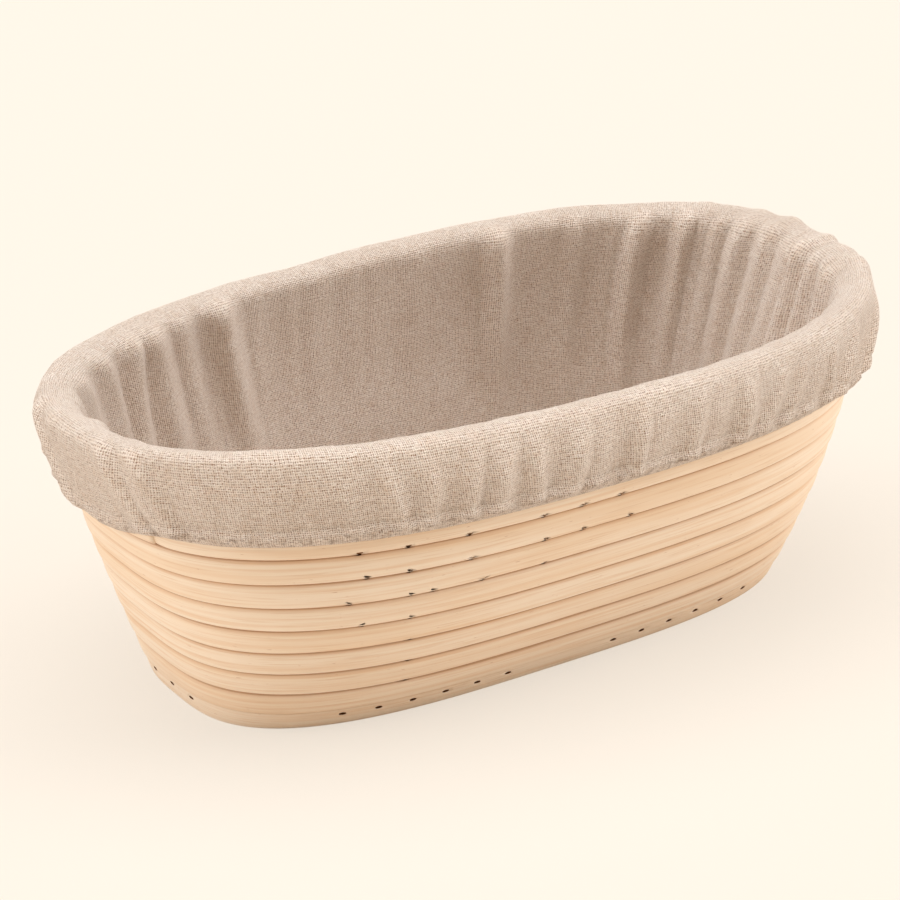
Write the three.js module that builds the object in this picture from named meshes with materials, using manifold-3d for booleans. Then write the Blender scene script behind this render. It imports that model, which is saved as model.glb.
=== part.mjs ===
// A proofing basket for bread: a coiled cane wall and base, stapled together, and a loose linen liner.
// Millimetres, +Z up, +X along the basket, origin at the middle of its underside.
import * as THREE from 'three';
import { mergeVertices } from 'three/addons/utils/BufferGeometryUtils.js';
import Module from 'manifold-3d';

const wasm = await Module();
wasm.setup();

// Outside of the cane wall, at the ground and at the rim.
const BASE_LENGTH = 215;
const BASE_WIDTH = 96;
const RIM_LENGTH = 280;
const RIM_WIDTH = 147;
// How far the wall bows out of a straight flare at half its height.
const END_BOW = 0.3;
const SIDE_BOW = 8.3;
// How square the oval is, where 2 is an ellipse.
const BASE_SQUARENESS = 3.1;
const RIM_SQUARENESS = 2.45;

// The cane: the lowest turn is planed to stand level, and the rim is wound in a thinner gauge.
const WALL_TURNS = 12;
const RIM_TURNS = 4;
const LOWEST_TURN_HEIGHT = 6.8;
const WALL_PITCH = 8.67;
const RIM_PITCH = 7.5;
const CANE_DEPTH = 6.5;
const OUTER_CROWN = 0.9;
const INNER_CROWN = 0.7;
const TURN_GAP = 0.5;

// The base: a straight strip with a flat coil of cane wound round it.
const BASE_TURNS = 4;
const CORE_STRIP_WIDTH = 8.2;
const BASE_CANE_HEIGHT = 6.3;
const BASE_EDGE_ROUND = 1.2;

// Stations round one turn, and those at the back along which a turn climbs by one pitch.
const STEPS = 30;
const CLIMB_STEPS = 5;
const CLIMB_END = THREE.MathUtils.degToRad(120);

// Where one length of cane is scarfed to the next: the turn, counted from the ground, and the angle.
const LOWER_JOINT = { turn: 3, angle: THREE.MathUtils.degToRad(288) };
const UPPER_JOINT = { turn: 8, angle: THREE.MathUtils.degToRad(168) };
const SCARF_STEPS = 3;
const SCARF_TIP = 0.7;

// Narrow wire staples: two rows of six along a side and three at an end hold the base in the wall,
// and a column at the front and one at the back hold each turn down on the turn below.
const STAPLE_WIDTH = 2.2;
const STAPLE_WIRE = 0.6;
const STAPLE_CLEARANCE = 0.3;
const STAPLE_SPACING = 11.2;
const SIDE_ROW_STAPLES = 6;
const SIDE_ROW_END_INSET = 31.5;
const END_ROW_STAPLES = 3;
const BASE_STAPLE_HEIGHT = 4.4;
const BASE_STAPLE_BITE = 4;
const GROOVE_STAPLE_LEG = 7;
const GROOVE_STAPLE_DIP = THREE.MathUtils.degToRad(45);
const LOWEST_STAPLED_GROOVE = 2;
const HIGHEST_STAPLED_GROOVE = 8;
const STAPLE_COLUMNS = { front: THREE.MathUtils.degToRad(241), back: THREE.MathUtils.degToRad(48) };

// The liner: a floor, a wall with inward folds, and a skirt over the rim, drawn in by elastic at its hem,
// which hangs lowest at the two ends.
const CLOTH = 0.8;
const LINER_CLEARANCE = 0.35;
const SEAM_GAP = 0.3;
const FOLD_DEPTH = 1.4;
const GATHER_DEPTH = 1.2;
const SKIRT_DROP = 25.5;
const SKIRT_END_SAG = 4;
const SKIRT_STANDOFF = 2.4;
const SHOULDER_DROP = 5;
const CREST_ROUND = 1.6;
const CASING_HEIGHT = 6;
const ELASTIC_WIDTH = 4;
const ELASTIC_THICKNESS = 0.8;
const CASING_CLEARANCE = 0.3;

const RATTAN = new THREE.MeshStandardMaterial({ color: 0xe2c09a, roughness: 0.55, metalness: 0 });
const LINEN = new THREE.MeshStandardMaterial({ color: 0xc6ae98, roughness: 0.95, metalness: 0 });
const ELASTIC = new THREE.MeshStandardMaterial({ color: 0xe9e3d8, roughness: 0.8, metalness: 0 });
const STAPLE_STEEL = new THREE.MeshStandardMaterial({ color: 0x6a5a49, roughness: 0.5, metalness: 0.8 });

const { clamp, lerp } = THREE.MathUtils;
const basket = new THREE.Group();

function addPiece(parent, name, geometry, material) {
  const piece = new THREE.Mesh(geometry, material);
  piece.name = name;
  parent.add(piece);
  return piece;
}

// Height of the groove under a turn, where turn may lie between two whole turns.
function grooveHeight(turn) {
  const rimTurns = Math.max(0, turn - (WALL_TURNS - RIM_TURNS));
  const fullTurns = Math.max(0, turn - 1 - rimTurns);
  return LOWEST_TURN_HEIGHT * Math.min(turn, 1) + WALL_PITCH * fullTurns + RIM_PITCH * rimTurns;
}

const WALL_HEIGHT = grooveHeight(WALL_TURNS);

// The wall's oval at a height.
function ovalAt(z) {
  const rise = z / WALL_HEIGHT;
  const bow = 4 * rise * (1 - rise);
  return {
    halfLength: lerp(BASE_LENGTH, RIM_LENGTH, rise) / 2 + END_BOW * bow,
    halfWidth: lerp(BASE_WIDTH, RIM_WIDTH, rise) / 2 + SIDE_BOW * bow,
    squareness: lerp(BASE_SQUARENESS, RIM_SQUARENESS, rise),
  };
}

function stepAtAngle(angle) {
  return THREE.MathUtils.euclideanModulo((angle - CLIMB_END) / (2 * Math.PI), 1) * STEPS;
}

// Point and level outward direction of the wall at a whole station.
function wallFrame(step, z) {
  const { halfLength, halfWidth, squareness } = ovalAt(z);
  const angle = CLIMB_END + (step / STEPS) * 2 * Math.PI;
  const along = Math.cos(angle);
  const across = Math.sin(angle);
  const reach = (Math.abs(along) ** squareness + Math.abs(across) ** squareness) ** (-1 / squareness);
  const outward = new THREE.Vector3(
    (Math.sign(along) * Math.abs(along) ** (squareness - 1)) / halfLength,
    (Math.sign(across) * Math.abs(across) ** (squareness - 1)) / halfWidth,
    0,
  ).normalize();
  return { point: new THREE.Vector3(halfLength * along * reach, halfWidth * across * reach, z), outward };
}

// Point at an offset out of the wall's outer face. Between stations the wall runs straight.
function wallPoint(step, z, offset) {
  const before = wallFrame(Math.floor(step), z);
  const after = wallFrame(Math.floor(step) + 1, z);
  before.point.addScaledVector(before.outward, offset);
  after.point.addScaledVector(after.outward, offset);
  return before.point.lerp(after.point, step - Math.floor(step));
}

// A solid skinned over sections, each a ring of points, as an open length with ends or as a closed ring.
function loft(sections, closed) {
  const sides = sections[0].length;
  const count = sections.length;
  const index = [];
  for (let i = 0; i < (closed ? count : count - 1); i += 1) {
    const here = i * sides;
    const next = ((i + 1) % count) * sides;
    for (let j = 0; j < sides; j += 1) {
      const k = (j + 1) % sides;
      index.push(here + j, next + k, here + k);
      index.push(here + j, next + j, next + k);
    }
  }
  const last = (count - 1) * sides;
  for (let j = 1; !closed && j < sides - 1; j += 1) {
    index.push(0, j, j + 1);
    index.push(last, last + j + 1, last + j);
  }
  const geometry = new THREE.BufferGeometry().setFromPoints(sections.flat());
  geometry.setIndex(index);
  geometry.computeVertexNormals();
  return geometry;
}

function toSolid(geometry) {
  const bare = geometry.clone();
  bare.deleteAttribute('normal');
  bare.deleteAttribute('uv');
  const merged = mergeVertices(bare);
  return new wasm.Manifold(new wasm.Mesh({
    numProp: 3,
    vertProperties: merged.attributes.position.array,
    triVerts: Uint32Array.from(merged.index.array),
  }));
}

function fromSolid(solid) {
  const mesh = solid.getMesh();
  const geometry = new THREE.BufferGeometry();
  geometry.setAttribute('position', new THREE.BufferAttribute(mesh.vertProperties, 3));
  geometry.setIndex(Array.from(mesh.triVerts));
  geometry.computeVertexNormals();
  return geometry;
}

// The stations of a length of cane: its two ends and every whole station between them.
function stationsBetween(first, last) {
  const stations = [first];
  for (let station = Math.floor(first) + 1; station < last; station += 1) {
    stations.push(station);
  }
  return [...stations, last];
}

// A winding's turn, its step round the turn, and how much of its climb it has made.
function windingPlace(station) {
  const turn = Math.floor(station / STEPS);
  const step = station - turn * STEPS;
  return { turn, step, climb: Math.max(0, 1 - (STEPS - step) / CLIMB_STEPS) };
}

// Least distance between points of a tube that lie about one turn apart along it.
function leastGap(stations, sections) {
  const rings = sections.map((ring) => ring.flatMap((point, j) => {
    const next = ring[(j + 1) % ring.length];
    return [point, point.clone().lerp(next, 0.5)];
  }));
  let least = Infinity;
  rings.forEach((ring, i) => {
    rings.forEach((other, k) => {
      const apart = stations[k] - stations[i];
      if (apart < STEPS / 2 || apart > STEPS * 1.5) return;
      ring.forEach((a) => other.forEach((b) => {
        least = Math.min(least, a.distanceTo(b));
      }));
    });
  });
  return least;
}

function windCane(name, stations, sectionAt) {
  const sections = stations.map(sectionAt);
  console.log(`${name}: least gap to itself ${leastGap(stations, sections).toFixed(2)} mm`);
  return loft(sections, false);
}

// Section of the wall's cane. Its two faces are crowned. At a scarf the length that ends is pared
// away from the inside, and the length that starts is pared away from the outside.
function wallSection(station, startJoint, endJoint) {
  const { turn, step, climb } = windingPlace(station);
  const low = Math.max(0, turn + climb);
  const high = Math.min(WALL_TURNS, turn + 1 + climb);
  const bottom = low > 0 ? grooveHeight(low) + TURN_GAP / 2 : 0;
  const top = high < WALL_TURNS ? grooveHeight(high) - TURN_GAP / 2 : WALL_HEIGHT;
  const middle = (bottom + top) / 2;
  const fullness = Math.min(1, (top - bottom) / (RIM_PITCH - TURN_GAP));
  const paredInside = clamp((station - endJoint) / SCARF_STEPS, 0, 1);
  const keptOutside = clamp((station - startJoint) / SCARF_STEPS - TURN_GAP / CANE_DEPTH, 0, 1);
  const outer = CANE_DEPTH * (keptOutside - 1);
  const inner = CANE_DEPTH * (paredInside - 1);
  const outerCrown = keptOutside < 1 ? 0 : OUTER_CROWN * fullness;
  const innerCrown = paredInside > 0 ? 0 : INNER_CROWN * fullness;
  return [
    wallPoint(step, bottom, outer),
    wallPoint(step, middle, outer + outerCrown),
    wallPoint(step, top, outer),
    wallPoint(step, top, inner),
    wallPoint(step, middle, inner - innerCrown),
    wallPoint(step, bottom, inner),
  ];
}

// The wall is one winding of three lengths of cane. Its first and last ends taper in the climb.
function wallCane(name, startJoint, endJoint) {
  const first = startJoint === undefined
    ? 1 - CLIMB_STEPS
    : startJoint + (SCARF_STEPS * (SCARF_TIP + TURN_GAP)) / CANE_DEPTH;
  const last = endJoint === undefined
    ? WALL_TURNS * STEPS - 1
    : endJoint + SCARF_STEPS * (1 - SCARF_TIP / CANE_DEPTH);
  return windCane(name, stationsBetween(first, last), (station) => wallSection(
    station,
    startJoint ?? -Infinity,
    endJoint ?? Infinity,
  ));
}

// The base lies in the wall's lowest turn. A share of 0 is its middle line and 1 its edge.
const BASE_INSET = CANE_DEPTH + INNER_CROWN + TURN_GAP;
const baseOval = ovalAt(LOWEST_TURN_HEIGHT / 2);
const BASE_REACH = baseOval.halfWidth - BASE_INSET;
const CORE_REACH = baseOval.halfLength - baseOval.halfWidth;
const CORE_SHARE = (CORE_STRIP_WIDTH / 2 + TURN_GAP) / BASE_REACH;

function basePoint(step, share, z) {
  const edge = wallPoint(step, z, -BASE_INSET);
  const middle = clamp(edge.x, -CORE_REACH, CORE_REACH);
  return new THREE.Vector3(lerp(middle, edge.x, share), edge.y * share, z);
}

// Section of the base's cane: level underneath and on top, with rounded edges.
function baseSection(station) {
  const { turn, step, climb } = windingPlace(station);
  const low = Math.max(0, turn + climb);
  const high = Math.min(BASE_TURNS, turn + 1 + climb);
  const halfGap = TURN_GAP / 2 / BASE_REACH;
  const inner = lerp(CORE_SHARE, 1, low / BASE_TURNS) + (low > 0 ? halfGap : 0);
  const outer = lerp(CORE_SHARE, 1, high / BASE_TURNS) - (high < BASE_TURNS ? halfGap : 0);
  const round = Math.min(BASE_EDGE_ROUND / BASE_REACH, (outer - inner) / 3);
  return [
    basePoint(step, outer - round, 0),
    basePoint(step, outer, BASE_CANE_HEIGHT / 2),
    basePoint(step, outer - round, BASE_CANE_HEIGHT),
    basePoint(step, inner + round, BASE_CANE_HEIGHT),
    basePoint(step, inner, BASE_CANE_HEIGHT / 2),
    basePoint(step, inner + round, 0),
  ];
}

function baseCane(name) {
  return windCane(name, stationsBetween(1 - CLIMB_STEPS, BASE_TURNS * STEPS - 1), baseSection);
}

function ringOfSteps(pointAt) {
  return Array.from({ length: STEPS }, (_, step) => pointAt(step));
}

function coreStrip() {
  const outline = ringOfSteps((step) => basePoint(step, CORE_STRIP_WIDTH / 2 / BASE_REACH, 0));
  const strip = new THREE.ExtrudeGeometry(new THREE.Shape(outline), {
    depth: BASE_CANE_HEIGHT - 2 * BASE_EDGE_ROUND,
    bevelThickness: BASE_EDGE_ROUND,
    bevelSize: BASE_EDGE_ROUND,
    bevelOffset: -BASE_EDGE_ROUND,
    bevelSegments: 1,
  });
  return strip.translate(0, 0, BASE_EDGE_ROUND);
}

// Staple: its crown lies along X with its outer face at y = 0, and its legs point along +Y.
function stapleGeometry(leg) {
  const half = STAPLE_WIDTH / 2;
  const outline = new THREE.Shape([
    new THREE.Vector2(-half, 0),
    new THREE.Vector2(half, 0),
    new THREE.Vector2(half, leg),
    new THREE.Vector2(half - STAPLE_WIRE, leg),
    new THREE.Vector2(half - STAPLE_WIRE, STAPLE_WIRE),
    new THREE.Vector2(STAPLE_WIRE - half, STAPLE_WIRE),
    new THREE.Vector2(STAPLE_WIRE - half, leg),
    new THREE.Vector2(-half, leg),
  ]);
  const wire = new THREE.ExtrudeGeometry(outline, { depth: STAPLE_WIRE, bevelEnabled: false });
  return wire.translate(0, 0, -STAPLE_WIRE / 2);
}

// The slot that a staple leaves in the cane, open to the outside.
function stapleSlot(leg) {
  const length = leg + STAPLE_CLEARANCE + CANE_DEPTH;
  const slot = new THREE.BoxGeometry(
    STAPLE_WIDTH + 2 * STAPLE_CLEARANCE,
    length,
    STAPLE_WIRE + 2 * STAPLE_CLEARANCE,
  );
  return slot.translate(0, length / 2 - CANE_DEPTH, 0);
}

// Place of a staple whose legs point into the wall and dip below the level by an angle.
function staplePlace(step, z, dip) {
  const { outward } = wallFrame(step, z);
  const along = new THREE.Vector3(-outward.y, outward.x, 0);
  const inward = outward.clone().multiplyScalar(-Math.cos(dip)).setZ(-Math.sin(dip));
  const place = new THREE.Matrix4().makeBasis(along, inward, along.clone().cross(inward));
  return place.setPosition(wallPoint(step, z, 0));
}

function centredRow(count, middle) {
  return Array.from({ length: count }, (_, i) => middle + (i - (count - 1) / 2) * STAPLE_SPACING);
}

// Steps of the base staples. None is set in the climb, where the lowest turn has no full face.
function baseStapleSteps() {
  const { halfLength, halfWidth, squareness } = ovalAt(BASE_STAPLE_HEIGHT);
  const rest = (share) => Math.max(0, 1 - Math.abs(share) ** squareness) ** (1 / squareness);
  const rowEnd = BASE_LENGTH / 2 - SIDE_ROW_END_INSET;
  const rowMiddle = rowEnd - ((SIDE_ROW_STAPLES - 1) / 2) * STAPLE_SPACING;
  const side = [-rowMiddle, rowMiddle]
    .flatMap((middle) => centredRow(SIDE_ROW_STAPLES, middle))
    .map((x) => x / halfLength);
  const end = centredRow(END_ROW_STAPLES, 0).map((y) => y / halfWidth);
  const angles = [-1, 1].flatMap((facing) => [
    ...side.map((share) => Math.atan2(facing * rest(share), share)),
    ...end.map((share) => Math.atan2(share, facing * rest(share))),
  ]);
  return angles.map(stepAtAngle).filter((step) => step < STEPS - CLIMB_STEPS).sort((a, b) => a - b);
}

const BASE_STAPLE_LEG = BASE_INSET + BASE_STAPLE_BITE;
const staples = baseStapleSteps().map((step, i) => ({
  name: `base_staple_${i + 1}`,
  leg: BASE_STAPLE_LEG,
  place: staplePlace(step, BASE_STAPLE_HEIGHT, 0),
}));
for (const [column, angle] of Object.entries(STAPLE_COLUMNS)) {
  for (let groove = LOWEST_STAPLED_GROOVE; groove <= HIGHEST_STAPLED_GROOVE; groove += 1) {
    staples.push({
      name: `groove_staple_${column}_${groove}`,
      leg: GROOVE_STAPLE_LEG,
      place: staplePlace(stepAtAngle(angle), grooveHeight(groove), GROOVE_STAPLE_DIP),
    });
  }
}
const slots = wasm.Manifold.union(
  staples.map(({ leg, place }) => toSolid(stapleSlot(leg).applyMatrix4(place))),
);

function slotted(geometry) {
  return fromSolid(toSolid(geometry).subtract(slots));
}

const lowerJoint = LOWER_JOINT.turn * STEPS + stepAtAngle(LOWER_JOINT.angle);
const upperJoint = UPPER_JOINT.turn * STEPS + stepAtAngle(UPPER_JOINT.angle);
const frame = new THREE.Group();
basket.add(frame);
addPiece(frame, 'base_core_strip', coreStrip(), RATTAN);
addPiece(frame, 'base_cane', slotted(baseCane('base_cane')), RATTAN);
addPiece(frame, 'wall_cane_lower', slotted(wallCane('wall_cane_lower', undefined, lowerJoint)), RATTAN);
addPiece(frame, 'wall_cane_middle', slotted(wallCane('wall_cane_middle', lowerJoint, upperJoint)), RATTAN);
addPiece(frame, 'wall_cane_upper', slotted(wallCane('wall_cane_upper', upperJoint, undefined)), RATTAN);
for (const { name, leg, place } of staples) {
  addPiece(frame, name, stapleGeometry(leg), STAPLE_STEEL).applyMatrix4(place);
}

// The liner's sections stand at each station and half way between two, where a fold lies.
const FLOOR_BOTTOM = BASE_CANE_HEIGHT + LINER_CLEARANCE;
const LINER_BOTTOM = FLOOR_BOTTOM + CLOTH + SEAM_GAP;
const CREST_UNDERSIDE = WALL_HEIGHT + LINER_CLEARANCE;
const CREST_MIDDLE = -CANE_DEPTH / 2;
const LINER_OUTER = -(CANE_DEPTH + INNER_CROWN + LINER_CLEARANCE);
const LINER_INNER = LINER_OUTER - CLOTH;

function linerRing(profileAt) {
  return loft(Array.from({ length: 2 * STEPS }, (_, half) => {
    const fold = half % 2 === 0 ? 0 : 0.65 + 0.35 * Math.sin(half * half);
    return profileAt(fold, half / 2).map(([offset, z]) => wallPoint(half / 2, z, offset));
  }), true);
}

// From 0 along the sides to 1 at the middle of an end.
function endness(step) {
  return Math.abs(wallFrame(step, 0).outward.x);
}

function linerFloor() {
  const outline = ringOfSteps((step) => wallPoint(step, FLOOR_BOTTOM, LINER_OUTER));
  const panel = new THREE.ExtrudeGeometry(new THREE.Shape(outline), { depth: CLOTH, bevelEnabled: false });
  return panel.translate(0, 0, FLOOR_BOTTOM);
}

// The wall panel stands on the floor's edge and ends on top of the rim. It folds most at the two ends.
function linerWall() {
  const low = lerp(LINER_BOTTOM, WALL_HEIGHT, 0.4);
  const high = lerp(LINER_BOTTOM, WALL_HEIGHT, 0.75);
  const crest = CREST_MIDDLE - SEAM_GAP / 2;
  return linerRing((fold, step) => {
    const depth = FOLD_DEPTH * fold * lerp(0.3, 1, endness(step));
    return [
      [LINER_OUTER, LINER_BOTTOM],
      [LINER_OUTER - depth / 2, low],
      [LINER_OUTER - depth, high],
      [LINER_OUTER, CREST_UNDERSIDE],
      [crest, CREST_UNDERSIDE],
      [crest, CREST_UNDERSIDE + CLOTH],
      [LINER_INNER + CREST_ROUND, CREST_UNDERSIDE + CLOTH],
      [LINER_INNER - depth / 2, WALL_HEIGHT - CREST_ROUND],
      [LINER_INNER - depth, high],
      [LINER_INNER - depth / 2, low],
      [LINER_INNER, LINER_BOTTOM],
    ];
  });
}

// The hem is turned up inside the skirt to make a casing, which is open at its top, for the elastic.
const HEM = CREST_UNDERSIDE + CLOTH - SKIRT_DROP;
const LEAF_INNER = OUTER_CROWN + LINER_CLEARANCE;
const LEAF_OUTER = LEAF_INNER + CLOTH;
const ELASTIC_INNER = LEAF_OUTER + CASING_CLEARANCE;
const ELASTIC_OUTER = ELASTIC_INNER + ELASTIC_THICKNESS;
const SKIRT_INNER = ELASTIC_OUTER + CASING_CLEARANCE;

function hemAt(step) {
  return HEM - SKIRT_END_SAG * endness(step) ** 4;
}

function linerSkirt() {
  const crest = CREST_MIDDLE + SEAM_GAP / 2;
  const shoulder = WALL_HEIGHT - SHOULDER_DROP;
  return linerRing((fold, step) => {
    const gather = GATHER_DEPTH * fold;
    const hem = hemAt(step);
    const casingTop = hem + CASING_HEIGHT;
    return [
      [SKIRT_INNER + CLOTH + gather, hem],
      [SKIRT_INNER + CLOTH + gather, casingTop],
      [SKIRT_STANDOFF + CLOTH + gather / 2, shoulder],
      [LINER_CLEARANCE + CLOTH, CREST_UNDERSIDE + CLOTH],
      [crest, CREST_UNDERSIDE + CLOTH],
      [crest, CREST_UNDERSIDE],
      [LINER_CLEARANCE, CREST_UNDERSIDE],
      [SKIRT_STANDOFF + gather / 2, shoulder],
      [SKIRT_INNER + gather, casingTop],
      [SKIRT_INNER, hem + CLOTH],
      [LEAF_OUTER, hem + CLOTH],
      [LEAF_OUTER, casingTop],
      [LEAF_INNER, casingTop],
      [LEAF_INNER, hem],
    ];
  });
}

function elasticBand() {
  return linerRing((fold, step) => {
    const bottom = hemAt(step) + CLOTH + CASING_CLEARANCE;
    const top = bottom + ELASTIC_WIDTH;
    return [
      [ELASTIC_OUTER, bottom],
      [ELASTIC_OUTER, top],
      [ELASTIC_INNER, top],
      [ELASTIC_INNER, bottom],
    ];
  });
}

const liner = new THREE.Group();
basket.add(liner);
addPiece(liner, 'liner_floor', linerFloor(), LINEN);
addPiece(liner, 'liner_wall', linerWall(), LINEN);
addPiece(liner, 'liner_skirt', linerSkirt(), LINEN);
addPiece(liner, 'elastic_band', elasticBand(), ELASTIC);

export default basket;
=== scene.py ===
import math

import bmesh
import bpy
import numpy as np
from mathutils import Matrix, Vector


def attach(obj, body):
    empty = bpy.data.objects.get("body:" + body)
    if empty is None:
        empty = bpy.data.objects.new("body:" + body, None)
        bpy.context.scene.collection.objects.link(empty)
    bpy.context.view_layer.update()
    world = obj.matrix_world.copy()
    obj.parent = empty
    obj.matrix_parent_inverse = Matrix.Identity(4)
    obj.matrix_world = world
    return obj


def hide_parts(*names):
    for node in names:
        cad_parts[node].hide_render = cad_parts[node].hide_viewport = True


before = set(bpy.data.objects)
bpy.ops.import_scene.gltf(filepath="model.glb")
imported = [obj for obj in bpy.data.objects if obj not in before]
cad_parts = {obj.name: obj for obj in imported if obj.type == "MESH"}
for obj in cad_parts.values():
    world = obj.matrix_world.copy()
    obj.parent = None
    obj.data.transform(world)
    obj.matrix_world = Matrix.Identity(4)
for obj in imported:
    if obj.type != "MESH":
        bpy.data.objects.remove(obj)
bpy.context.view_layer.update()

# The base's core strip: a straight length of peeled rattan cane, rounded at its ends and edges.
# The base's coil is wound round it. It keeps its CAD form, and its grain runs along it.
MM = 0.001


class Wire:
    """An output of a shader node. Arithmetic on it adds Math nodes to its finish."""

    def __init__(self, finish, socket):
        self.finish, self.socket = finish, socket

    def math(self, operation, *operands):
        return self.finish.node("Math", {"operation": operation}, dict(enumerate(operands)))

    def __add__(self, other):
        return self.math("ADD", self, other)

    def __sub__(self, other):
        return self.math("SUBTRACT", self, other)

    def __rsub__(self, other):
        return self.math("SUBTRACT", other, self)

    def __mul__(self, other):
        return self.math("MULTIPLY", self, other)

    def __abs__(self):
        return self.math("ABSOLUTE", self)

    __radd__, __rmul__ = __add__, __mul__


class Finish:
    """A material or world in the making: its nodes, and the shader that it ends in."""

    def __init__(self, owner):
        self.owner = owner
        owner.use_nodes = True
        self.tree = owner.node_tree
        self.tree.nodes.clear()

    def node(self, kind, settings, sockets, output=0):
        node = self.tree.nodes.new("ShaderNode" + kind)
        for key, value in settings.items():
            setattr(node, key, value)
        for key, value in sockets.items():
            if isinstance(value, Wire):
                self.tree.links.new(value.socket, node.inputs[key])
            else:
                node.inputs[key].default_value = value
        return Wire(self, node.outputs[output]) if node.outputs else None

    def noise(self, vector, scale, detail=2.0, distortion=0.0):
        place = self.node("Mapping", {}, {"Vector": vector, "Scale": scale})
        sockets = {"Vector": place, "Scale": 1, "Detail": detail, "Distortion": distortion}
        return self.node("TexNoise", {}, sockets)

    def range(self, value, low, high, to_low=0.0, to_high=1.0):
        sockets = {"Value": value, "From Min": low, "From Max": high, "To Min": to_low, "To Max": to_high}
        return self.node("MapRange", {"interpolation_type": "SMOOTHSTEP"}, sockets)

    def mix(self, share, colour, other):
        return self.node("Mix", {"data_type": "RGBA"}, {0: share, 6: colour, 7: other}, output=2)

    def surface(self, sockets):
        shader = self.node("BsdfPrincipled", {}, sockets)
        self.node("OutputMaterial", {}, {"Surface": shader})
        return self.owner


def new_finish(name):
    return Finish(bpy.data.materials.new(name))


def srgb(red, green, blue):
    """A colour as it is seen, in steps of 255, in the shader's linear light."""
    shares = [value / 255 for value in (red, green, blue)]
    linear = [s / 12.92 if s <= 0.04045 else ((s + 0.055) / 1.055) ** 2.4 for s in shares]
    return (*linear, 1)


def rattan(name, wound):
    """Peeled cane. Its grain runs along its map, and a wound cane has painted shade under each lip and a
    painted shadow line in each groove.
    """
    finish = new_finish(name)
    if wound:
        grain = finish.node("UVMap", {"uv_map": "surface"}, {})
    else:
        grain = finish.node("TexCoord", {}, {}, output=3)
    tone = finish.noise(grain, (6, 70, 70))
    streaks = finish.noise(grain, (14, 620, 620), detail=3)
    fibres = finish.noise(grain, (50, 1700, 1700))
    flecks = finish.noise(grain, (300, 2300, 2300), detail=1)
    colour = finish.mix(finish.range(streaks, 0.4, 0.75), srgb(250, 233, 212), srgb(240, 212, 182))
    colour = finish.mix(finish.range(tone, 0.4, 0.7) * 0.6, colour, srgb(242, 214, 182))
    colour = finish.mix(finish.range(fibres, 0.52, 0.75) * 0.5, colour, srgb(226, 190, 153))
    colour = finish.mix(finish.range(flecks, 0.73, 0.8) * 0.6, colour, srgb(186, 132, 84))
    if wound:
        # Painted shade: each turn's top is darkened to amber towards the lip above, the lip's underside is
        # darkened, and a thin dark line stands for the shadow in the groove.
        up_face = finish.node("SeparateXYZ", {}, {"Vector": grain}, output=1)
        past_top = finish.range(up_face, 9.6 * MM, 10.6 * MM)
        shade_below_lip = finish.range(up_face, 6.2 * MM, 8.1 * MM) - past_top
        painted_groove_shadow = finish.range(up_face, 7.6 * MM, 8.1 * MM) - past_top
        painted_turn_shade = shade_below_lip + finish.range(up_face, 0.05 * MM, -0.5 * MM)
        colour = finish.mix(painted_turn_shade * 0.4, colour, srgb(202, 146, 92))
        colour = finish.mix(painted_groove_shadow * 0.45, colour, srgb(150, 98, 56))
    relief = fibres * 0.5 + streaks * 0.5
    bump = finish.node("Bump", {}, {"Strength": 0.2, "Distance": 0.1 * MM, "Height": relief})
    return finish.surface({
        "Base Color": colour,
        "Roughness": finish.range(streaks, 0.3, 0.7, 0.5, 0.6),
        "Normal": bump,
        "Specular IOR Level": 0.3,
    })


core_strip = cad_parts["base_core_strip"]
core_strip.data.materials.clear()
core_strip.data.materials.append(rattan("straight_cane", wound=False))

# The base's coil: one peeled cane, wound flat round the core strip in four turns inside the wall's
# lowest turn, and planed level underneath. Each turn passes outside the last one at the back.
BASE_LENGTH, BASE_WIDTH = 215 * MM, 96 * MM
RIM_LENGTH, RIM_WIDTH = 280 * MM, 147 * MM
END_BOW, SIDE_BOW = 0.3 * MM, 8.3 * MM
BASE_SQUARENESS, RIM_SQUARENESS = 3.1, 2.45
WALL_TURNS, RIM_TURNS = 12, 4
LOWEST_TURN_HEIGHT, WALL_PITCH, RIM_PITCH = 6.8 * MM, 8.67 * MM, 7.5 * MM
CANE_DEPTH = 6.5 * MM
CLIMB_START, CLIMB_END = math.radians(60), math.radians(120)
STEPS_IN_TURN = 240
# A winding starts as a taper, this much of a turn before its first turn, and stops short of its last climb.
START_TAPER, STOP_SHORT = 0.13, 0.035
BASE_TURNS = 4
BASE_INSET = 7.7 * MM
CORE_STRIP_WIDTH = 8.2 * MM
COIL_GAP = 0.5 * MM
# The coil's section, as shares of its breadth, and heights in millimetres.
COIL_SECTION = [
    (0.13, 0), (0.5, 0), (0.87, 0), (0.96, 0.4), (1, 1.2), (1, 3.2), (1, 5.1), (0.96, 5.9), (0.87, 6.3),
    (0.5, 6.3), (0.13, 6.3), (0.04, 5.9), (0, 5.1), (0, 3.2), (0, 1.2), (0.04, 0.4), (0.13, 0),
]


def groove_height(turn):
    rim_turns = np.maximum(0, turn - (WALL_TURNS - RIM_TURNS))
    full_turns = np.maximum(0, turn - 1 - rim_turns)
    return LOWEST_TURN_HEIGHT * np.minimum(turn, 1) + WALL_PITCH * full_turns + RIM_PITCH * rim_turns


WALL_HEIGHT = float(groove_height(WALL_TURNS))


def oval_at(height):
    rise = height / WALL_HEIGHT
    bow = 4 * rise * (1 - rise)
    half_length = (BASE_LENGTH + (RIM_LENGTH - BASE_LENGTH) * rise) / 2 + END_BOW * bow
    half_width = (BASE_WIDTH + (RIM_WIDTH - BASE_WIDTH) * rise) / 2 + SIDE_BOW * bow
    return half_length, half_width, BASE_SQUARENESS + (RIM_SQUARENESS - BASE_SQUARENESS) * rise


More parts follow.
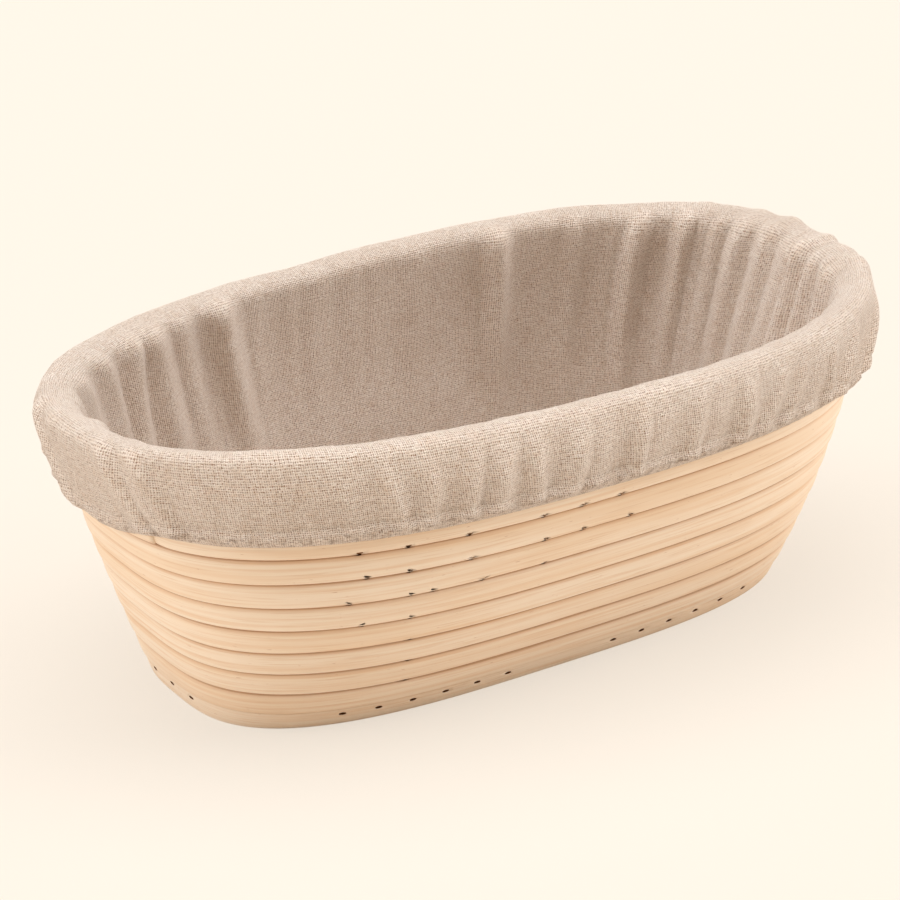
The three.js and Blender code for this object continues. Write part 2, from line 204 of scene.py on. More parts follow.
def wall_point(angle, height, offset):
    """Points at an offset out of the wall's face, for arrays of angles round the oval and of heights."""
    half_length, half_width, squareness = oval_at(height)
    along, across = np.cos(angle), np.sin(angle)
    reach = (abs(along) ** squareness + abs(across) ** squareness) ** (-1 / squareness)
    out_x = np.sign(along) * abs(along) ** (squareness - 1) / half_length
    out_y = np.sign(across) * abs(across) ** (squareness - 1) / half_width
    out = offset / np.hypot(out_x, out_y)
    x = half_length * along * reach + out * out_x
    y = half_width * across * reach + out * out_y
    return np.stack(np.broadcast_arrays(x, y, height), axis=-1)


def lengths_along(points, axis):
    steps = np.linalg.norm(np.diff(points, axis=axis), axis=-1)
    start = np.zeros_like(np.take(steps, [0], axis=axis))
    return np.concatenate([start, np.cumsum(steps, axis=axis)], axis=axis)


def smooth_step(low, high, value):
    share = np.clip((value - low) / (high - low), 0, 1)
    return share * share * (3 - 2 * share)


def winding_place(place):
    """A winding's angle, and the turns that its two edges have reached, for places counted in turns."""
    turn = np.floor(place)
    angle = CLIMB_END + (place - turn) * 2 * math.pi
    reached = turn + smooth_step(2 * math.pi + CLIMB_START, 2 * math.pi + CLIMB_END, angle)
    return angle, np.maximum(0, reached), reached + 1


def places_between(first, last):
    return np.linspace(first, last, round((last - first) * STEPS_IN_TURN) + 1)[:, None]


def add_piece(name, bm):
    mesh = bpy.data.meshes.new(name)
    bm.to_mesh(mesh)
    bm.free()
    piece = bpy.data.objects.new(name, mesh)
    bpy.context.scene.collection.objects.link(piece)
    return piece


def laid_grid(name, points, surface, closed_ends):
    """A grid of faces laid on an array of points, whose edges are joined where they meet."""
    bm = bmesh.new()
    uv_layer = bm.loops.layers.uv.new("surface")
    rows, columns = points.shape[0] - 1, points.shape[1] - 1
    to_corner = Matrix.Translation((0.5, 0.5, 0))
    bmesh.ops.create_grid(bm, x_segments=rows, y_segments=columns, size=0.5, matrix=to_corner)
    for face in bm.faces:
        face.smooth = True
        for loop in face.loops:
            row, column = round(loop.vert.co.x * rows), round(loop.vert.co.y * columns)
            loop[uv_layer].uv = surface[row, column]
    for vert in bm.verts:
        vert.co = points[round(vert.co.x * rows), round(vert.co.y * columns)]
    bmesh.ops.remove_doubles(bm, verts=bm.verts, dist=0.001 * MM)
    if closed_ends:
        bmesh.ops.holes_fill(bm, edges=[edge for edge in bm.edges if edge.is_boundary], sides=0)
    bmesh.ops.recalc_face_normals(bm, faces=bm.faces)
    return add_piece(name, bm)


def cane_map(points, first, face_start):
    """Metres along a cane, and round its section from the edge where its outer face starts."""
    along = lengths_along(points, 0)[:, :1] + first
    round_section = lengths_along(points, 1)
    return np.stack(np.broadcast_arrays(along, round_section - round_section[:, [face_start]]), axis=-1)


def base_point(angle, share, height):
    """Points of the base, where a share of 0 is its middle line and 1 is its edge."""
    edge = wall_point(angle, height, -BASE_INSET)
    middle = np.clip(edge[..., 0], -core_reach, core_reach)
    x = middle + (edge[..., 0] - middle) * share
    return np.stack(np.broadcast_arrays(x, edge[..., 1] * share, edge[..., 2]), axis=-1)


base_half_length, base_half_width, _ = oval_at(LOWEST_TURN_HEIGHT / 2)
base_reach = base_half_width - BASE_INSET
core_reach = base_half_length - base_half_width
core_share = (CORE_STRIP_WIDTH / 2 + COIL_GAP) / base_reach
place = places_between(-START_TAPER, BASE_TURNS - STOP_SHORT)
angle, low, high = winding_place(place)
high = np.minimum(BASE_TURNS, high)
half_gap = COIL_GAP / 2 / base_reach
inner = core_share + (1 - core_share) * low / BASE_TURNS + half_gap * (low > 0)
outer = core_share + (1 - core_share) * high / BASE_TURNS - half_gap * (high < BASE_TURNS)
shares, heights = np.array(COIL_SECTION).T
points = base_point(angle, inner + (outer - inner) * shares, heights * MM)
base_coil = laid_grid("base_coil", points, cane_map(points, 0, 0), closed_ends=True)
cane_finish = rattan("wound_cane", wound=True)
base_coil.data.materials.append(cane_finish)
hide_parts("base_cane")
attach(base_coil, "basket")

# The wall's winding: twelve turns of peeled rattan cane, each lapped on the one below it, in three
# lengths that are scarfed end to end. It is wound on an oval former and climbs a turn at the back.
LOWER_JOINT, UPPER_JOINT = (3, math.radians(288)), (8, math.radians(168))
SCARF_LENGTH, SCARF_TIP, SCARF_GAP = 0.1, 0.7 * MM, 0.5 * MM
# The section of the cane, as offsets out of the wall's face and heights up the turn, in millimetres.
# Its lower edge is a crisp lip over the turn below, and its face leans back to the lip above it.
CANE_FACE = [
    (-1.6, 0.0), (0.7, 0.0), (0.93, 0.05), (1.02, 0.18), (1.06, 0.5), (1.08, 1.6), (1.03, 3.0),
    (0.92, 4.4), (0.74, 5.8), (0.5, 7.0), (0.25, 7.72), (-0.03, 8.07), (-0.5, 8.19), (-1.9, 8.21),
]
CANE_BACK = [
    (-5.2, 8.42), (-6.1, 8.0), (-6.6, 6.9), (-6.9, 5.3), (-6.95, 3.9), (-6.8, 2.4), (-6.3, 0.9), (-5.4, 0.0),
]
SECTION_HEIGHT = 8.5
LIP_POINT = 3
EDGE_WANDER, FACE_WANDER = 0.14 * MM, 0.12 * MM
NEVER = 100


def wander(place, frequencies, phase):
    """An uneven wave along the winding, from -1 to 1."""
    waves = [np.sin(2 * math.pi * f * place + phase * (i + 1)) for i, f in enumerate(frequencies)]
    return sum(waves) / len(waves)


def edge_wander(place):
    return EDGE_WANDER * wander(place, (3.1, 5.3, 8.7), 1.3)


def wind_wall_cane(name, first, last, start_joint, end_joint):
    """One length of the wall's winding, between two places that are counted in turns from the ground."""
    place = places_between(first, last)
    angle, low, high = winding_place(place)
    high = np.minimum(WALL_TURNS, high)
    lapped = np.where((low > 0.5) & (high < WALL_TURNS), 1.0, 0.0)
    bottom = groove_height(low) + lapped * edge_wander(place)
    top = groove_height(high) + lapped * edge_wander(place + 1)
    offsets, heights = np.array(CANE_FACE + CANE_BACK + CANE_FACE[:1]).T
    fullness = np.minimum(1, (top - bottom) / (SECTION_HEIGHT * MM))
    offset = offsets * MM * (0.25 + 0.75 * fullness) + FACE_WANDER * wander(place, (0.73, 1.9, 3.3), 0.7)
    pared = np.clip((place - end_joint) / SCARF_LENGTH, 0, 1)
    kept = np.clip((place - start_joint) / SCARF_LENGTH, 0, 1)
    offset = offset + pared * np.maximum(0, -offset)
    offset = offset - (1 - kept) * np.maximum(0, offset + CANE_DEPTH)
    points = wall_point(angle, bottom + (top - bottom) * heights / SECTION_HEIGHT, offset)
    return laid_grid(name, points, cane_map(points, first, LIP_POINT), closed_ends=True)


def joint_place(joint):
    turn, angle = joint
    return turn + ((angle - CLIMB_END) / (2 * math.pi)) % 1


lower_joint, upper_joint = joint_place(LOWER_JOINT), joint_place(UPPER_JOINT)
scarf_start = SCARF_LENGTH * (SCARF_TIP + SCARF_GAP) / CANE_DEPTH
scarf_end = SCARF_LENGTH * (1 - SCARF_TIP / CANE_DEPTH)
cane_lower = wind_wall_cane("cane_lower", -START_TAPER, lower_joint + scarf_end, -NEVER, lower_joint)
cane_middle = wind_wall_cane(
    "cane_middle", lower_joint + scarf_start, upper_joint + scarf_end, lower_joint, upper_joint)
cane_upper = wind_wall_cane(
    "cane_upper", upper_joint + scarf_start, WALL_TURNS - STOP_SHORT, upper_joint, NEVER)
wall_canes = {"wall_cane_lower": cane_lower, "wall_cane_middle": cane_middle, "wall_cane_upper": cane_upper}
for node, cane in wall_canes.items():
    cane.data.materials.append(cane_finish)
    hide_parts(node)
    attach(cane, "basket")

# The staples: bent wire, browned by damp. Those in the lowest turn hold the base, and those in the
# grooves hold each turn down on the turn below. Each has split the cane where it was driven in.
STAPLE_WIDTH, STAPLE_WIRE = 2.2 * MM, 0.6 * MM
STAPLE_LEG = 7 * MM
SPLIT_DROP, STAPLE_SINK = 0.4 * MM, 0.5 * MM
GROOVE_DIP = math.radians(45)
STAPLE_SPACING, SIDE_ROW_STAPLES, SIDE_ROW_END_INSET = 11.2 * MM, 6, 31.5 * MM
BASE_STAPLE_HEIGHT = 4.4 * MM
STAPLE_COLUMNS = (241, 48)
STAPLED_GROOVES = range(2, 9)
# More staples show in the front's upper grooves, at these angles round the oval.
FRONT_STAPLES = {
    8: (234.6, 249.3, 260.1, 266.2, 272.3),
    7: (235.3, 249.6, 260.5, 266.6, 274.4),
    6: (232.6, 244.1, 251.3, 260.8),
    5: (234.2,),
}
BASE_SPLIT, GROOVE_SPLIT = (2.0 * MM, 0.9 * MM), (1.6 * MM, 0.6 * MM)
SPLIT_DEPTH = 3.2 * MM
SPLIT_MOUTH, SPLIT_SIDES = 1.25, 12


def staple_place(angle, height, dip):
    """A frame on the wall's face: X along the cane, Y into the wall and down by the dip."""
    at, ahead = wall_point(np.array([angle, angle + 0.001]), height, 0)
    along = Vector(ahead - at).normalized()
    inward = Vector((-along.y, along.x, 0)) * math.cos(dip) - Vector((0, 0, math.sin(dip)))
    place = Matrix((along, inward, along.cross(inward))).transposed().to_4x4()
    place.translation = at
    return place


def base_staple_angles():
    half_length, half_width, squareness = oval_at(BASE_STAPLE_HEIGHT)
    row_end = BASE_LENGTH / 2 - SIDE_ROW_END_INSET
    row = [row_end - i * STAPLE_SPACING for i in range(SIDE_ROW_STAPLES)]
    for share in [x / half_length for x in row] + [-x / half_length for x in row]:
        across = (1 - abs(share) ** squareness) ** (1 / squareness)
        yield from (math.atan2(across, share), math.atan2(-across, share))
    for share in (-STAPLE_SPACING / half_width, 0, STAPLE_SPACING / half_width):
        along = (1 - abs(share) ** squareness) ** (1 / squareness)
        yield from (math.atan2(share, along), math.atan2(share, -along))


groove_angles = [(g, math.radians(a)) for g in STAPLED_GROOVES for a in STAPLE_COLUMNS]
front_angles = [(g, math.radians(a)) for g, angles in FRONT_STAPLES.items() for a in angles]
groove_places = [
    staple_place(a, groove_height(g) - SPLIT_DROP, GROOVE_DIP) for g, a in groove_angles + front_angles
]
base_places = [
    staple_place(a, BASE_STAPLE_HEIGHT, 0) for a in base_staple_angles() if not CLIMB_START < a < CLIMB_END
]


def split_cane(cane, places):
    """Cuts the splits at staples into a cane. A split is widest at its mouth."""
    bm = bmesh.new()
    mouth_out = Matrix.Rotation(-math.pi / 2, 4, "X")
    for place, (width, height) in places:
        split = bmesh.ops.create_cone(
            bm, cap_ends=True, segments=SPLIT_SIDES, radius1=SPLIT_MOUTH / 2, radius2=0.5, depth=1,
            matrix=mouth_out)["verts"]
        bmesh.ops.scale(bm, vec=(width, SPLIT_DEPTH, height), verts=split)
        bmesh.ops.transform(bm, matrix=place, verts=split)
    for face in bm.faces:
        face.material_index = 1
    cutter = add_piece("splits", bm)
    cane.data.materials.append(torn_fibre)
    cutter.data.materials.append(cane_finish)
    cutter.data.materials.append(torn_fibre)
    cut = cane.modifiers.new("splits", "BOOLEAN")
    cut.operation, cut.solver, cut.object = "DIFFERENCE", "EXACT", cutter
    cut.material_mode = "INDEX"
    evaluated = cane.evaluated_get(bpy.context.evaluated_depsgraph_get())
    cane.data = bpy.data.meshes.new_from_object(evaluated)
    cane.modifiers.clear()
    bpy.data.objects.remove(cutter)


def fibre_finish(name):
    finish = new_finish(name)
    place = finish.node("TexCoord", {}, {}, output=3)
    strands = finish.noise(place, (900, 900, 5000), detail=2)
    return finish.surface({
        "Base Color": finish.mix(strands, srgb(122, 78, 46), srgb(172, 122, 80)),
        "Roughness": 0.85,
        "Specular IOR Level": 0.2,
    })


def wire_finish(name):
    finish = new_finish(name)
    place = finish.node("TexCoord", {}, {}, output=3)
    rust = finish.range(finish.noise(place, (2600, 2600, 2600), detail=3), 0.4, 0.7)
    return finish.surface({
        "Base Color": finish.mix(rust, srgb(78, 54, 36), srgb(88, 54, 29)),
        "Metallic": 0.2 - rust * 0.2,
        "Roughness": 0.6 + rust * 0.25,
    })


torn_fibre = fibre_finish("torn_fibre")
browned_wire = wire_finish("browned_wire")
for cane in wall_canes.values():
    split_cane(cane, [(p, GROOVE_SPLIT) for p in groove_places] + [(p, BASE_SPLIT) for p in base_places])
for node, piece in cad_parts.items():
    if "staple" in node:
        piece.data.materials.clear()
        piece.data.materials.append(browned_wire)

half_wire = STAPLE_WIRE / 2
half_crown = STAPLE_WIDTH / 2 - half_wire
bend = np.radians(np.linspace(0, 90, 5))
corner_along = half_crown - half_wire + half_wire * np.sin(bend)
corner_inward = half_wire - half_wire * np.cos(bend)
corner = np.stack([corner_along, corner_inward], axis=-1)
half_path = np.vstack([[0, 0], corner, [half_crown, STAPLE_LEG]])
path = np.vstack([half_path[::-1], half_path[1:] * (-1, 1)]) + (0, half_wire + STAPLE_SINK)
heading = np.gradient(path, axis=0)
heading /= np.linalg.norm(heading, axis=1)[:, None]
around = np.linspace(0, 2 * math.pi, 9)
wire_round = np.stack([
    path[:, :1] - heading[:, 1:] * half_wire * np.cos(around),
    path[:, 1:] + heading[:, :1] * half_wire * np.cos(around),
    np.broadcast_to(half_wire * np.sin(around), (len(path), len(around))),
], axis=-1)
for (groove, angle), place in zip(front_angles, groove_places[len(groove_angles):]):
    turned = wire_round @ np.array(place.to_3x3()).T + np.array(place.translation)
    name = f"groove_staple_{groove}_{math.degrees(angle):.0f}"
    staple = laid_grid(name, turned, wire_round[..., :2], closed_ends=True)
    staple.data.materials.append(browned_wire)
    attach(staple, "basket")

# The liner's floor: an oval panel of unbleached plain-weave linen that lies on the base's coil.
# Its edge is turned up and sewn to the bag.
THREAD = 0.64 * MM
CLOTH = 0.8 * MM
FLOOR_TOP = 7.0 * MM
LINER_OFFSET = -7.9 * MM
FLOOR_COLUMNS, FLOOR_ROWS = 240, 24
FLOOR_INSET, FLOOR_TURN_UP = 0.85 * MM, 2.2 * MM
FLOOR_RIPPLE, RIPPLES_PER_METRE = 0.25 * MM, 170 / (2 * math.pi)


def linen(name, hem=None):
    """Plain weave: uneven threads over and under each other, painted shade in the gaps between them, and
    loose fibres.
    A hem, where the cloth is gathered, has painted shade in blotches where its puckers fold."""
    finish = new_finish(name)
    place = finish.node("UVMap", {"uv_map": "surface"}, {})
    across, along = (finish.node("SeparateXYZ", {}, {"Vector": place}, output=i) for i in (0, 1))
    warp = (across * (1 / THREAD) + finish.noise(place, (90, 330, 1)) * 0.9) * math.pi
    weft = (along * (1 / THREAD) + finish.noise(place, (330, 90, 1)) * 0.9) * math.pi
    warp, weft = warp.math("SINE", warp), weft.math("SINE", weft)
    over = warp * weft * 0.4
    warp_lift, weft_lift = abs(warp) * (0.5 + over), abs(weft) * (0.5 - over)
    lift = warp_lift.math("MAXIMUM", warp_lift, weft_lift)
    warp_slubs = finish.noise(place, (1 / THREAD, 190, 1), detail=1)
    weft_slubs = finish.noise(place, (190, 1 / THREAD, 1), detail=1)
    slubs = warp_slubs + weft_slubs
    lint = finish.noise(place, (1400, 1400, 1), detail=3)
    patches = finish.noise(place, (55, 55, 1), detail=3)
    curl = finish.noise(place, (430, 430, 1), detail=1, distortion=2.5)
    hairs = finish.range(abs(curl - 0.5), 0.06, 0.0)
    yarn = finish.mix(finish.range(slubs, 0.75, 1.3), srgb(252, 241, 231), srgb(236, 217, 201))
    yarn = finish.mix(finish.range(patches, 0.35, 0.7) * 0.2, yarn, srgb(211, 186, 164))
    # Painted shade: where the threads dip, the gaps between them are coloured dark brown for the shade that
    # falls in them.
    yarn_over_gap_shade = finish.range(lift + (lint - 0.5) * 1.1, 0.04, 0.56)
    colour = finish.mix(yarn_over_gap_shade, srgb(138, 97, 65), yarn)
    colour = finish.mix(hairs * 0.5, colour, srgb(251, 241, 231))
    if hem:
        # Painted shade: dark blotches in a band above the hem stand for the shade in its puckers.
        in_hem = finish.range(along, hem - 4.6 * MM, hem - 3.0 * MM)
        pucker_shade = finish.range(finish.noise(place, (520, 640, 1), detail=1), 0.5, 0.66)
        colour = finish.mix(in_hem * pucker_shade * 0.45, colour, srgb(118, 84, 58))
    relief = lift + lint * 0.7 + hairs * 0.3
    bump = finish.node("Bump", {}, {"Strength": 0.9, "Distance": 0.36 * MM, "Height": relief})
    return finish.surface({
        "Base Color": colour,
        "Roughness": 0.95,
        "Normal": bump,
        "Specular IOR Level": 0.1,
        "Sheen Weight": 0.8,
        "Sheen Roughness": 0.45,
        "Sheen Tint": srgb(255, 246, 238),
    })


def give_thickness(sheet):
    thickness = sheet.modifiers.new("cloth", "SOLIDIFY")
    thickness.thickness, thickness.offset = CLOTH, 0


linen_finish = linen("unbleached_linen")
angle = np.linspace(0, 2 * math.pi, FLOOR_COLUMNS + 1)[:, None]
share = np.linspace(0, 1, FLOOR_ROWS + 1)[:, None]
edge = wall_point(angle, FLOOR_TOP, LINER_OFFSET - FLOOR_INSET)
points = edge * share
ripple = np.sin(points[..., :1] * 2 * math.pi * RIPPLES_PER_METRE + 1) * np.sin(4 * math.pi * share)
points[..., 2:] = FLOOR_TOP + FLOOR_RIPPLE * np.abs(ripple) + FLOOR_TURN_UP * smooth_step(0.955, 1, share)
points[-1] = points[0]
liner_floor = laid_grid("linen_floor", points, points[..., :2], closed_ends=False)
liner_floor.data.materials.append(linen_finish)
give_thickness(liner_floor)
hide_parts("liner_floor")
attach(liner_floor, "liner")

# The liner's bag and skirt: the same linen. The bag lines the basket, and the skirt is turned down over
# the rim, where elastic in its hem gathers it and draws it in under the flare.
LINER_COLUMNS = 820
# The sheet's section, as offsets out of the wall's face, heights, and rows of faces to the next point.
LINER_PROFILE = [
    (-9.3, 7.6, 2), (-7.9, 9.6, 4), (-7.9, 30, 5), (-8.0, 58, 5), (-8.4, 80, 4), (-8.5, 91.5, 4),
    (-7.4, 96.8, 4), (-2.6, 99.0, 4), (0.9, 97.7, 4), (2.5, 93.4, 4), (3.1, 88.3, 4), (3.3, 82.5, 4),
    (3.6, 78.2, 3), (3.45, 75.4, 3), (2.65, 73.5, 3), (1.95, 74.7, 2), (1.9, 80.2, 0),
]
# Places down the section, counted in its points: where a form starts, is full, falls and ends.
HEM_KNOT, STITCH_KNOT, STITCH_SPREAD = 14, 11.75, 0.2
LEVEL_KNOTS, DROP_KNOTS = (11.5, 12.5), (8.5, 13.5)
SLACK_KNOTS = (5, 8, 12.5, 14)
ROLL_KNOTS = (4.2, 6.4, 7.8, 10.4)
SKIRT_KNOTS = (7.8, 10.6, 12.5, 13.6)
BAG_KNOTS = (1.2, 3.4, 5.4, 6.8)
DEEP_BAG_KNOTS = (1.4, 3.6, 5.1, 6.8)
LEFT_BAG_KNOTS = (1.4, 3.6, 5.0, 6.8)
LEFT_SKIRT_KNOTS = (6.8, 8.8, 12.8, 13.9)
OVER_ROLL_KNOTS = (4.4, 5.8, 9.2, 11.2)
HEM_KNOTS = (11.9, 12.9, 14.6, 15.3)
# The roll is fuller at two corners than at the other two, and the hem hangs lower at the two ends.
ROLL_FULLNESS = 1.3 * MM
LEFT_SAG, RIGHT_SAG = 5 * MM, 5 * MM
SLACK, STITCH_DEPTH, HEM_DROP = 0.5 * MM, 0.6 * MM, 0.3 * MM
SKIRT_GATHERS, BAG_GATHERS, ROLL_GATHERS, HEM_PUCKERS = 62, 54, 60, 165
# The shares of a pucker's depth by which it lifts the hem and stands out.
PUCKER_LIFT, PUCKER_OUT = 0.45, 0.7


def through_points(profile):
    """A smooth curve through points, in as many steps as each point says, and each step's knot."""
    points = np.array([point[:2] for point in profile], float)
    padded = np.vstack([2 * points[0] - points[1], points, 2 * points[-1] - points[-2]])
    curve, knots = [], []
    for i, (a, b, c, d) in enumerate(zip(padded[:-3], padded[1:-2], padded[2:-1], padded[3:])):
        share = np.linspace(0, 1, profile[i][2], endpoint=False)
        s = share[:, None]
        curve.append(b + 0.5 * s * (c - a + s * (2 * a - 5 * b + 4 * c - d + s * (3 * b - a - 3 * c + d))))
        knots.append(i + share)
    return np.vstack([*curve, points[-1:]]), np.append(np.concatenate(knots), len(points) - 1)


profile, knot = through_points(LINER_PROFILE)
fine_angle = np.linspace(0, 2 * math.pi, 4001)
rim_length = lengths_along(wall_point(fine_angle, WALL_HEIGHT, 0), 0)
rim_girth = rim_length[-1]
girth = np.linspace(0, rim_girth, LINER_COLUMNS + 1)
liner_angle = np.interp(girth, rim_length, fine_angle)
random = np.random.RandomState(7)


def window(value, start, rise_end, fall_start, end):
    return smooth_step(start, rise_end, value) * (1 - smooth_step(fall_start, end, value))


def spread_out(count):
    """Places round the rim, unevenly spaced."""
    return [(i + random.uniform(-0.38, 0.38)) * rim_girth / count for i in range(count)]


def at_angles(*degrees):
    return np.interp(np.radians(degrees), fine_angle, rim_length)


def ridges(centres, breadth, sway, depth_at, lean_at, knots):
    """Gathers across the sheet, as heights: round ridges that meet in creases."""
    heights = np.zeros((len(girth), len(knot)))
    for centre in centres:
        angle = math.degrees(np.interp(centre % rim_girth, rim_length, fine_angle))
        size = depth_at(angle) * random.uniform(0.35, 1.25)
        width = breadth * random.uniform(0.7, 1.4)
        lean = lean_at(angle) + random.uniform(-0.7, 0.7) * MM
        phase = random.uniform(0, 2 * math.pi)
        line = centre + lean * (knot - knots[1]) + sway * np.sin(knot * 0.9 + phase)
        apart = (girth[:, None] - line + rim_girth / 2) % rim_girth - rim_girth / 2
        heights = np.maximum(heights, size * np.exp(-(apart / width) ** 2))
    return heights * window(knot, *knots)


def end_share(angle):
    return math.cos(math.radians(angle)) ** 8


def at_right(angle):
    return math.cos(math.radians(angle)) > 0


def skirt_depth(angle):
    return 2.6 * MM * (1 - 0.85 * float(window(angle, 204, 214, 230, 244)))


def skirt_lean(angle):
    at_left = float(window(angle, 150, 165, 200, 215))
    at_front = float(window(angle, 236, 250, 320, 345))
    return (2.2 * at_left - 1.5 * at_front) * MM


def bag_depth(angle):
    return (0.7 + (3.0 if at_right(angle) else 1.0) * end_share(angle)) * MM


def roll_depth(angle):
    return (0.1 + (1.2 if at_right(angle) else 0.5) * end_share(angle)) * MM


def deep(angle):
    return 4.0 * MM


def shallow(angle):
    return 2.4 * MM


def pucker_depth(angle):
    return 1.4 * MM


def no_lean(angle):
    return 0


def hem_sag(angle):
    """How much lower the hem hangs, for angles in degrees from 0 to 360."""
    from_right = np.abs((angle + 180) % 360 - 180)
    from_left = np.abs(angle - 180)
    left_sag = LEFT_SAG * (1 - smooth_step(6, 27, from_left))
    return left_sag + RIGHT_SAG * (1 - smooth_step(25, 56, from_right))


left_skirt = at_angles(166, 174, 182, 189, 196, 203)
left_bag = at_angles(112, 119, 125.5, 131.5, 138, 147, 158)
right_bag = at_angles(5, 13, 21, 28, 36, 45, 56, 68, 326, 340, 352)
bulges = ridges(spread_out(SKIRT_GATHERS), 3.8 * MM, 0.8 * MM, skirt_depth, skirt_lean, SKIRT_KNOTS)
bulges += ridges(spread_out(BAG_GATHERS), 3.7 * MM, 1.4 * MM, bag_depth, no_lean, BAG_KNOTS)
bulges += ridges(spread_out(ROLL_GATHERS), 4.4 * MM, 0.9 * MM, roll_depth, no_lean, OVER_ROLL_KNOTS)
bulges = np.maximum(bulges, ridges(left_skirt, 4.0 * MM, 1.0 * MM, shallow, skirt_lean, LEFT_SKIRT_KNOTS))
bulges = np.maximum(bulges, ridges(left_bag, 5.6 * MM, 2.0 * MM, deep, no_lean, LEFT_BAG_KNOTS))
bulges = np.maximum(bulges, ridges(right_bag, 3.6 * MM, 1.2 * MM, deep, no_lean, DEEP_BAG_KNOTS))
puckers = ridges(spread_out(HEM_PUCKERS), 1.6 * MM, 0.3 * MM, pucker_depth, no_lean, HEM_KNOTS)
turns_round = (girth / rim_girth)[:, None]
slack = wander(turns_round, (5, 11, 17), 2.1) * SLACK * window(knot, *SLACK_KNOTS)
offset, height = (profile * MM).T
tangent = np.gradient(profile, axis=0)
away = np.stack([-tangent[:, 1], tangent[:, 0]], axis=1) / np.linalg.norm(tangent, axis=1)[:, None]
level = smooth_step(*LEVEL_KNOTS, knot)
out_offset = away[:, 0] * (1 - level) + level
out_height = away[:, 1] * (1 - level)
stitched = STITCH_DEPTH * np.exp(-((knot - STITCH_KNOT) / STITCH_SPREAD) ** 2)
fullness = ROLL_FULLNESS * (0.2 + np.sin(2 * liner_angle))[:, None] * window(knot, *ROLL_KNOTS)
drop = hem_sag(np.degrees(liner_angle))[:, None] * smooth_step(*DROP_KNOTS, knot)
lift = puckers * PUCKER_LIFT + fullness - drop - HEM_DROP * level
points = wall_point(
    liner_angle[:, None],
    height + (bulges + slack) * out_height + lift,
    offset + (bulges + slack) * out_offset + puckers * PUCKER_OUT - stitched,
)
points[-1] = points[0]
down = lengths_along(wall_point(np.zeros((1, 1)), height[None, :], offset[None, :]), 1)
hem_at = float(np.interp(HEM_KNOT, knot, down[0]))
surface = np.stack(np.broadcast_arrays(girth[:, None], down), axis=-1)
liner = laid_grid("linen_bag", points, surface, closed_ends=False)
liner.data.materials.append(linen("gathered_linen", hem=hem_at))
give_thickness(liner)
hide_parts("liner_wall", "liner_skirt")
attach(liner, "liner")

# The elastic: a flat woven band with a ribbed face, sewn into a ring. It lies in the hem's casing,
# between the skirt and the edge that is turned up behind it.
ELASTIC_WIDTH, ELASTIC_INNER, ELASTIC_OUTER = 4 * MM, 2.4 * MM, 3 * MM
ELASTIC_BOTTOM = 74.6 * MM
ELASTIC_RIBS, RIB_DEPTH = 5, 0.12 * MM
up_band = np.linspace(0, 1, 4 * ELASTIC_RIBS + 1)
rib = RIB_DEPTH * np.cos(2 * math.pi * ELASTIC_RIBS * up_band)
band_offset = np.concatenate([ELASTIC_OUTER - rib, ELASTIC_INNER + rib[::-1], ELASTIC_OUTER - rib[:1]])
band_height = ELASTIC_BOTTOM + ELASTIC_WIDTH * np.concatenate([up_band, up_band[::-1], up_band[:1]])
band_angle = liner_angle[::2, None]
points = wall_point(band_angle, band_height - hem_sag(np.degrees(band_angle)), band_offset[None, :])
points[-1] = points[0]
surface = np.stack(np.broadcast_arrays(girth[::2, None], lengths_along(points, 1)), axis=-1)
elastic = laid_grid("woven_elastic", points, surface, closed_ends=False)


def elastic_finish(name):
    finish = new_finish(name)
    place = finish.node("UVMap", {"uv_map": "surface"}, {})
    picks = finish.noise(place, (2200, 900, 1), detail=1)
    return finish.surface({
        "Base Color": finish.mix(
            finish.range(picks, 0.35, 0.65), srgb(214, 206, 192), srgb(240, 234, 224)),
        "Roughness": 0.85,
        "Normal": finish.node("Bump", {}, {"Strength": 0.5, "Distance": 0.1 * MM, "Height": picks}),
    })


elastic.data.materials.append(elastic_finish("covered_elastic"))
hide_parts("elastic_band")
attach(elastic, "liner")

# The stage: a pale floor that runs out of view into a backdrop of the same cream, soft light from above
# and from both sides with a warm fill, and the camera.
CREAM = srgb(253, 245, 233)
FLOOR_REACH, FLOOR_GLOW = 6, 0.66
WARM_FILL, FILL_STRENGTH = (1, 0.82, 0.64, 1), 0.35


def seen_directly(finish):
    """1 where a ray of the camera, a gloss or a glass meets the stage, and 0 where light falls on it."""
    camera, glossy, through = (finish.node("LightPath", {}, {}, output=i) for i in (0, 3, 6))
    return camera.math("MAXIMUM", camera, glossy.math("MAXIMUM", glossy, through))


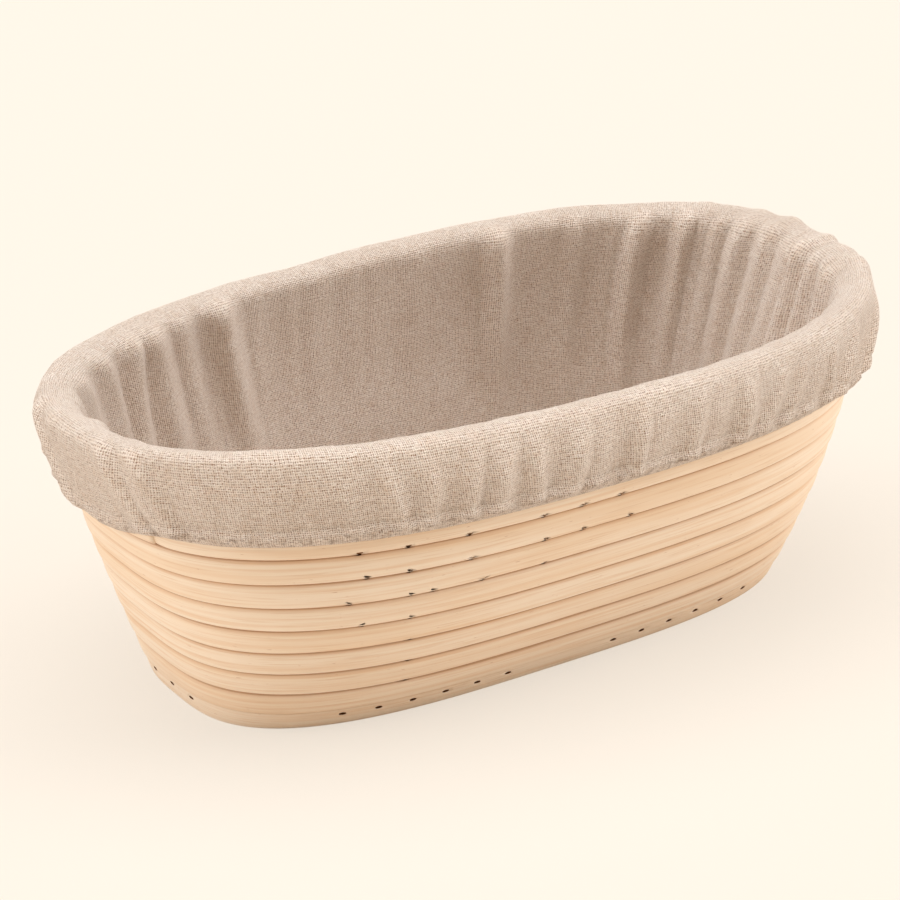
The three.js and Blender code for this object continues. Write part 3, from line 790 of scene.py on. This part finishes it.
bm = bmesh.new()
bmesh.ops.create_grid(bm, x_segments=1, y_segments=1, size=FLOOR_REACH)
floor = add_piece("floor", bm)
paint = new_finish("cream_floor")
matt = paint.node("BsdfDiffuse", {}, {"Color": srgb(228, 218, 206)})
glow = paint.node("Emission", {}, {"Color": CREAM, "Strength": 1})
shader = paint.node("MixShader", {}, {0: seen_directly(paint) * FLOOR_GLOW, 1: matt, 2: glow})
paint.node("OutputMaterial", {}, {"Surface": shader})
floor.data.materials.append(paint.owner)

world = bpy.data.worlds.new("studio")
bpy.context.scene.world = world
sky = Finish(world)
fill = sky.node("Background", {}, {"Color": WARM_FILL, "Strength": FILL_STRENGTH})
backdrop = sky.node("Background", {}, {"Color": CREAM, "Strength": 1})
surroundings = sky.node("MixShader", {}, {0: seen_directly(sky), 1: fill, 2: backdrop})
sky.node("OutputWorld", {}, {"Surface": surroundings})


def softbox(name, towards, strength, breadth):
    lamp = bpy.data.lights.new(name, "SUN")
    lamp.energy, lamp.angle = strength, math.radians(breadth)
    light = bpy.data.objects.new(name, lamp)
    light.rotation_mode = "QUATERNION"
    light.rotation_quaternion = Vector(towards).to_track_quat("Z", "Y")
    bpy.context.scene.collection.objects.link(light)


softbox("top_light", (-0.05, 0.1, 1), 2.4, 60)
softbox("left_light", (-0.95, 0.3, 0.45), 1.15, 50)
softbox("right_light", (0.95, -0.32, 0.45), 1.75, 40)

VIEW_AZIMUTH, VIEW_ELEVATION = math.radians(-33.42), math.radians(24.49)
VIEW_DISTANCE = 1.04824
view_target = Vector((-7.68, 0, 57.38)) * MM
back = Vector((math.sin(VIEW_AZIMUTH) * math.cos(VIEW_ELEVATION),
               -math.cos(VIEW_AZIMUTH) * math.cos(VIEW_ELEVATION), math.sin(VIEW_ELEVATION)))
camera = bpy.data.objects.new("camera", bpy.data.cameras.new("camera"))
camera.data.sensor_width, camera.data.lens = 36, 132.97
camera.location = view_target + back * VIEW_DISTANCE
camera.rotation_mode = "QUATERNION"
camera.rotation_quaternion = back.to_track_quat("Z", "Y")
bpy.context.scene.collection.objects.link(camera)
bpy.context.scene.camera = camera
bpy.context.scene.view_settings.view_transform = "Standard"
